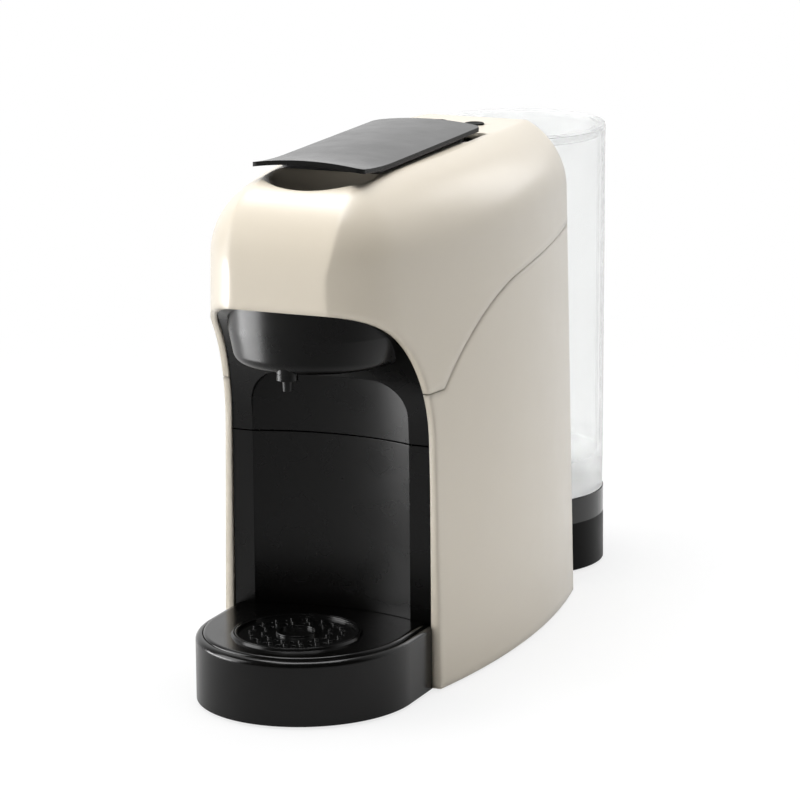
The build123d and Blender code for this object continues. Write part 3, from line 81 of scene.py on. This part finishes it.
def noise(tree, place, scale, detail=4.0, roughness=0.55):
    """Noise factor at a scale given in cycles per metre."""
    node = tree.nodes.new("ShaderNodeTexNoise")
    node.inputs["Scale"].default_value = scale
    node.inputs["Detail"].default_value = detail
    node.inputs["Roughness"].default_value = roughness
    tree.links.new(place, node.inputs["Vector"])
    return node.outputs["Fac"]


def remap(tree, value, low, high, start=0.3, end=0.7):
    """Value from start to end spread over low to high."""
    node = tree.nodes.new("ShaderNodeMapRange")
    for socket, number in zip(("From Min", "From Max", "To Min", "To Max"), (start, end, low, high)):
        node.inputs[socket].default_value = number
    tree.links.new(value, node.inputs["Value"])
    return node.outputs["Result"]


def along(tree, vector, axis):
    """One component of a vector."""
    node = tree.nodes.new("ShaderNodeSeparateXYZ")
    tree.links.new(vector, node.inputs["Vector"])
    return node.outputs[axis]


def math_node(tree, operation, first, second):
    """One sum, product or the larger of two values."""
    node = tree.nodes.new("ShaderNodeMath")
    node.operation = operation
    tree.links.new(first, node.inputs[0])
    tree.links.new(second, node.inputs[1])
    return node.outputs["Value"]


def mix_shaders(tree, share, first, second=None):
    """Two shaders mixed by the share of the second, which is black where none is given."""
    node = tree.nodes.new("ShaderNodeMixShader")
    tree.links.new(share, node.inputs["Fac"])
    tree.links.new(first, node.inputs[1])
    if second is not None:
        tree.links.new(second, node.inputs[2])
    return node.outputs["Shader"]


def two_tone(tree, fac, first, second, start=0.35, end=0.65):
    """Colour between two tones, by a factor."""
    ramp = tree.nodes.new("ShaderNodeValToRGB")
    for element, position, colour in zip(ramp.color_ramp.elements, (start, end), (first, second)):
        element.position = position
        element.color = (*colour, 1.0)
    tree.links.new(fac, ramp.inputs["Fac"])
    return ramp.outputs["Color"]


def bump(tree, shader, height, depth, strength=1.0, edge=0.0):
    """Surface relief of a given depth in metres, over edges that are rounded by a radius in metres."""
    node = tree.nodes.new("ShaderNodeBump")
    node.inputs["Distance"].default_value = depth
    node.inputs["Strength"].default_value = strength
    tree.links.new(height, node.inputs["Height"])
    if edge:
        soft = tree.nodes.new("ShaderNodeBevel")
        soft.samples = EDGE_SAMPLES
        soft.inputs["Radius"].default_value = edge
        tree.links.new(soft.outputs["Normal"], node.inputs["Normal"])
    tree.links.new(node.outputs["Normal"], shader.inputs["Normal"])


def moulded(
    name, dark, light, roughness, spread, grain, depth,
    coat=0.0, specular=0.5, edge=SMALL_EDGE, polish=0.0, rim=None,
):
    """Moulded plastic: faint flow marks in the colour, uneven gloss and a fine tool texture.

    Surfaces on the tray's level are smoother by the amount of polish. Upright faces may reflect less, by
    the rim:
    painted shade that darkens upright sides, such as the lid's edges.
    """
    mat, tree, shader, place = new_material(name)
    flow = noise(tree, place, FLOW_SCALE, detail=2.0, roughness=0.4)
    tree.links.new(two_tone(tree, flow, dark, light, *FLOW_TONES), shader.inputs["Base Color"])
    gloss = noise(tree, place, GLOSS_SCALE, detail=3.0)
    uneven = remap(tree, gloss, roughness - spread, roughness + spread)
    if polish:
        smoother = remap(tree, along(tree, place, "Z"), -polish, 0.0, *TRAY_LEVEL)
        uneven = math_node(tree, "ADD", uneven, smoother)
    tree.links.new(uneven, shader.inputs["Roughness"])
    bump(tree, shader, noise(tree, place, grain, detail=3.0), depth, edge=edge)
    shader.inputs["Coat Weight"].default_value = coat
    shader.inputs["Coat Roughness"].default_value = COAT_ROUGHNESS
    if rim is None:
        shader.inputs["Specular IOR Level"].default_value = specular
    else:
        # Painted shade: the specular level falls from the given value on tops to the rim on upright faces
        facing = along(tree, place.node.outputs["Normal"], "Z")
        tree.links.new(remap(tree, facing, rim, specular, *RIM_FACING), shader.inputs["Specular IOR Level"])
    return mat


def metal(name, dark, light, roughness, stretch):
    """Metal with fine marks drawn out along one axis."""
    mat, tree, shader, place = new_material(name)
    mapping = tree.nodes.new("ShaderNodeMapping")
    mapping.inputs["Scale"].default_value = stretch
    tree.links.new(place, mapping.inputs["Vector"])
    marks = noise(tree, mapping.outputs["Vector"], MARK_SCALE, detail=5.0)
    tree.links.new(two_tone(tree, marks, dark, light), shader.inputs["Base Color"])
    uneven = remap(tree, marks, roughness - MARK_SPREAD, roughness + MARK_SPREAD)
    tree.links.new(uneven, shader.inputs["Roughness"])
    bump(tree, shader, marks, MARK_DEPTH)
    shader.inputs["Metallic"].default_value = 1.0
    return mat


def clear_plastic(name, dark, light):
    """Clear moulded plastic with faint flow marks and a fine grain, milky at its thick bottom."""
    mat, tree, shader, place = new_material(name)
    flow = noise(tree, place, TANK_TINT_SCALE, detail=2.0)
    tree.links.new(two_tone(tree, flow, dark, light, *FLOW_TONES), shader.inputs["Base Color"])
    uneven = remap(tree, noise(tree, place, TANK_GLOSS_SCALE), *TANK_ROUGHNESS)
    tree.links.new(uneven, shader.inputs["Roughness"])
    grain = noise(tree, place, TANK_GRAIN_SCALE, detail=2.0)
    bump(tree, shader, grain, TANK_GRAIN_DEPTH, TANK_GRAIN_STRENGTH)
    clear = remap(tree, along(tree, place, "Z"), *TANK_CLEAR, *TANK_BOTTOM)
    tree.links.new(clear, shader.inputs["Transmission Weight"])
    shader.inputs["IOR"].default_value = TANK_IOR
    return mat


looks = {
    "ivory_shell": moulded(
        "ivory_shell", dark=(0.600, 0.541, 0.445), light=(0.630, 0.570, 0.472),
        roughness=0.34, spread=0.03, grain=1500.0, depth=0.000006, coat=0.45, edge=0.006,
    ),
    "black_satin": moulded(
        "black_satin", dark=(0.0011, 0.0010, 0.0009), light=(0.0019, 0.0018, 0.0016),
        roughness=0.28, spread=0.03, grain=2600.0, depth=0.000006, specular=0.32, polish=0.08,
    ),
    "black_matte": moulded(
        "black_matte", dark=(0.008, 0.008, 0.0085), light=(0.012, 0.012, 0.0125),
        roughness=0.55, spread=0.06, grain=1900.0, depth=0.00003,
    ),
    "black_gloss": moulded(
        "black_gloss", dark=(0.0035, 0.0035, 0.0035), light=(0.0052, 0.0052, 0.0050),
        roughness=0.13, spread=0.03, grain=900.0, depth=0.000003,
    ),
    # black_satin's colours with a weaker, rougher shine: painted shade for the tank base
    "base_black": moulded(
        "base_black", dark=(0.0011, 0.0010, 0.0009), light=(0.0019, 0.0018, 0.0016),
        roughness=0.40, spread=0.03, grain=2600.0, depth=0.000006, specular=0.09,
    ),
    "button_black": moulded(
        "button_black", dark=(0.0035, 0.0035, 0.0035), light=(0.0052, 0.0052, 0.0050),
        roughness=0.50, spread=0.04, grain=1900.0, depth=0.00001, specular=0.08,
    ),
    # The lid's upright edges reflect less by the rim: painted shade
    "lid_grey": moulded(
        "lid_grey", dark=(0.0105, 0.0105, 0.0103), light=(0.0140, 0.0140, 0.0137),
        roughness=0.24, spread=0.03, grain=2600.0, depth=0.000008, rim=0.06,
    ),
    "clear_plastic": clear_plastic(
        "clear_plastic", dark=(0.930, 0.936, 0.935), light=(0.965, 0.970, 0.969)
    ),
    "tube_clear": moulded(
        "tube_clear", dark=(0.62, 0.62, 0.58), light=(0.70, 0.70, 0.66),
        roughness=0.40, spread=0.05, grain=800.0, depth=0.00001,
    ),
    "rubber": moulded(
        "rubber", dark=(0.012, 0.012, 0.012), light=(0.020, 0.020, 0.019),
        roughness=0.72, spread=0.08, grain=1400.0, depth=0.00004, specular=0.3,
    ),
    "steel": metal(
        "steel", dark=(0.46, 0.46, 0.45), light=(0.62, 0.62, 0.61),
        roughness=0.32, stretch=(0.1, 1.0, 1.0),
    ),
    "pump_metal": metal(
        "pump_metal", dark=(0.20, 0.21, 0.22), light=(0.28, 0.29, 0.30),
        roughness=0.42, stretch=(1.0, 0.1, 1.0),
    ),
    "cast_aluminium": metal(
        "cast_aluminium", dark=(0.52, 0.52, 0.51), light=(0.66, 0.66, 0.65),
        roughness=0.52, stretch=(1.0, 1.0, 1.0),
    ),
    "circuit_board": moulded(
        "circuit_board", dark=(0.012, 0.070, 0.030), light=(0.020, 0.10, 0.045),
        roughness=0.42, spread=0.08, grain=700.0, depth=0.00003,
    ),
}

# Pieces that shine less than the rest of their slot; on the tank base the weaker shine is painted shade
own_looks = {"button_left": "button_black", "button_right": "button_black", "tank_base": "base_black"}

for entry in frame["record"]["subparts"]:
    piece = nodes[entry["node"]]
    look = looks[own_looks.get(entry["node"], entry["material_slot"])]
    for index in range(len(piece.material_slots)):
        piece.material_slots[index].material = look


# Studio

def seen_share(tree, mirrored):
    """1 for rays from the camera and through clear pieces, and a given share for mirrored rays."""
    path = tree.nodes.new("ShaderNodeLightPath")
    direct = math_node(tree, "MAXIMUM", path.outputs["Is Camera Ray"], path.outputs["Is Transmission Ray"])
    glossy = math_node(tree, "MULTIPLY", path.outputs["Is Glossy Ray"], mirrored)
    return math_node(tree, "MAXIMUM", direct, glossy)


def backdrop_shader(tree, colour, near_share):
    """Diffuse floor that turns plain white away from the object, and keeps its shadow close to it.

    Mirrored rays see it darker in front of the machine.
    """
    tree.nodes.clear()
    out = tree.nodes.new("ShaderNodeOutputMaterial")
    diffuse = tree.nodes.new("ShaderNodeBsdfDiffuse")
    diffuse.inputs["Color"].default_value = (*colour, 1.0)
    glow = tree.nodes.new("ShaderNodeEmission")
    place = tree.nodes.new("ShaderNodeTexCoord").outputs["Object"]
    length = tree.nodes.new("ShaderNodeVectorMath")
    length.operation = "LENGTH"
    tree.links.new(place, length.inputs[0])
    white = remap(tree, length.outputs["Value"], near_share, 1.0, *FLOOR_NEAR)
    depth = along(tree, place, "Y")
    mirrored = remap(tree, depth, *FLOOR_MIRRORED)
    share = math_node(tree, "MULTIPLY", seen_share(tree, mirrored), white)
    lit = mix_shaders(tree, share, diffuse.outputs["BSDF"], glow.outputs["Emission"])
    path = tree.nodes.new("ShaderNodeLightPath")
    shade = math_node(tree, "MULTIPLY", path.outputs["Is Glossy Ray"], remap(tree, depth, *FLOOR_SHADE))
    tree.links.new(mix_shaders(tree, shade, lit), out.inputs["Surface"])


def background(tree, strength):
    """White background light of a given strength."""
    node = tree.nodes.new("ShaderNodeBackground")
    node.inputs["Color"].default_value = (1.0, 1.0, 1.0, 1.0)
    node.inputs["Strength"].default_value = strength
    return node.outputs["Background"]


floor_mesh = bpy.data.meshes.new("floor")
corners = [(x * FLOOR_REACH, y * FLOOR_REACH, 0) for x, y in ((-1, -1), (1, -1), (1, 1), (-1, 1))]
floor_mesh.from_pydata(corners, [], [(0, 1, 2, 3)])
floor = bpy.data.objects.new("floor", floor_mesh)
scene.collection.objects.link(floor)
floor_look = bpy.data.materials.new("floor_white")
floor_look.use_nodes = True
backdrop_shader(floor_look.node_tree, FLOOR_COLOUR, FLOOR_NEAR_SHARE)
floor_mesh.materials.append(floor_look)

world = bpy.data.worlds.new("studio")
scene.world = world
world.use_nodes = True
sky = world.node_tree
sky.nodes.clear()
sky_out = sky.nodes.new("ShaderNodeOutputWorld")
sky_place = sky.nodes.new("ShaderNodeTexCoord").outputs["Generated"]
sky_share = seen_share(sky, remap(sky, along(sky, sky_place, "Y"), *WORLD_MIRRORED))
sky_light = mix_shaders(sky, sky_share, background(sky, WORLD_FILL), background(sky, 1.0))
sky.links.new(sky_light, sky_out.inputs["Surface"])


def softbox(name, position, aim, width, height, watts, diffuse=True, glossy=True):
    """Rectangular studio light that points at a place, for matt shading, for highlights or for both."""
    data = bpy.data.lights.new(name, "AREA")
    data.shape = "RECTANGLE"
    data.size = width
    data.size_y = height
    data.energy = watts
    lamp = bpy.data.objects.new(name, data)
    lamp.location = position
    lamp.rotation_euler = (Vector(aim) - Vector(position)).to_track_quat("-Z", "Y").to_euler()
    lamp.visible_camera = False
    lamp.visible_diffuse = diffuse
    lamp.visible_glossy = glossy
    scene.collection.objects.link(lamp)


softbox("key_left", (-1.42, -0.76, 0.60), aim=(0.0, -0.05, 0.12), width=1.0, height=1.3, watts=21.0)
softbox(
    "left_strip", (-0.55, -0.28, 0.06), aim=(0.0, -0.10, 0.10), width=0.40, height=0.16, watts=2.0,
    diffuse=False,
)
softbox("top", (-0.05, 0.08, 1.70), aim=(0.0, 0.0, 0.1), width=1.2, height=1.4, watts=39.5)
softbox("front", (-0.40, -1.75, 0.34), aim=(0.0, 0.0, 0.18), width=1.0, height=0.6, watts=7.5, glossy=False)
softbox(
    "right_low", (0.34, 0.02, 0.03), aim=(0.06, 0.0, 0.05), width=0.5, height=0.05, watts=0.13, glossy=False
)
softbox("right_back", (0.55, 1.45, 0.72), aim=(0.0, 0.0, 0.15), width=0.5, height=0.7, watts=2.0)


# Camera

back = Vector((
    math.sin(CAMERA_TURN) * math.cos(CAMERA_RISE),
    -math.cos(CAMERA_TURN) * math.cos(CAMERA_RISE),
    math.sin(CAMERA_RISE),
))
level = Vector((math.cos(CAMERA_TURN), math.sin(CAMERA_TURN), 0.0))
right = math.cos(CAMERA_ROLL) * level + math.sin(CAMERA_ROLL) * back.cross(level)
up = back.cross(right)
camera_data = bpy.data.cameras.new("camera")
camera_data.sensor_fit = "HORIZONTAL"
camera_data.sensor_width = CAMERA_SENSOR
camera_data.lens = CAMERA_LENS
camera_data.clip_end = CAMERA_FAR
camera = bpy.data.objects.new("camera", camera_data)
facing_camera = Matrix((right, up, back)).transposed().to_4x4()
camera.matrix_world = Matrix.Translation(CAMERA_TARGET + back * CAMERA_DISTANCE) @ facing_camera
scene.collection.objects.link(camera)
scene.camera = camera

scene.view_settings.view_transform = "Standard"
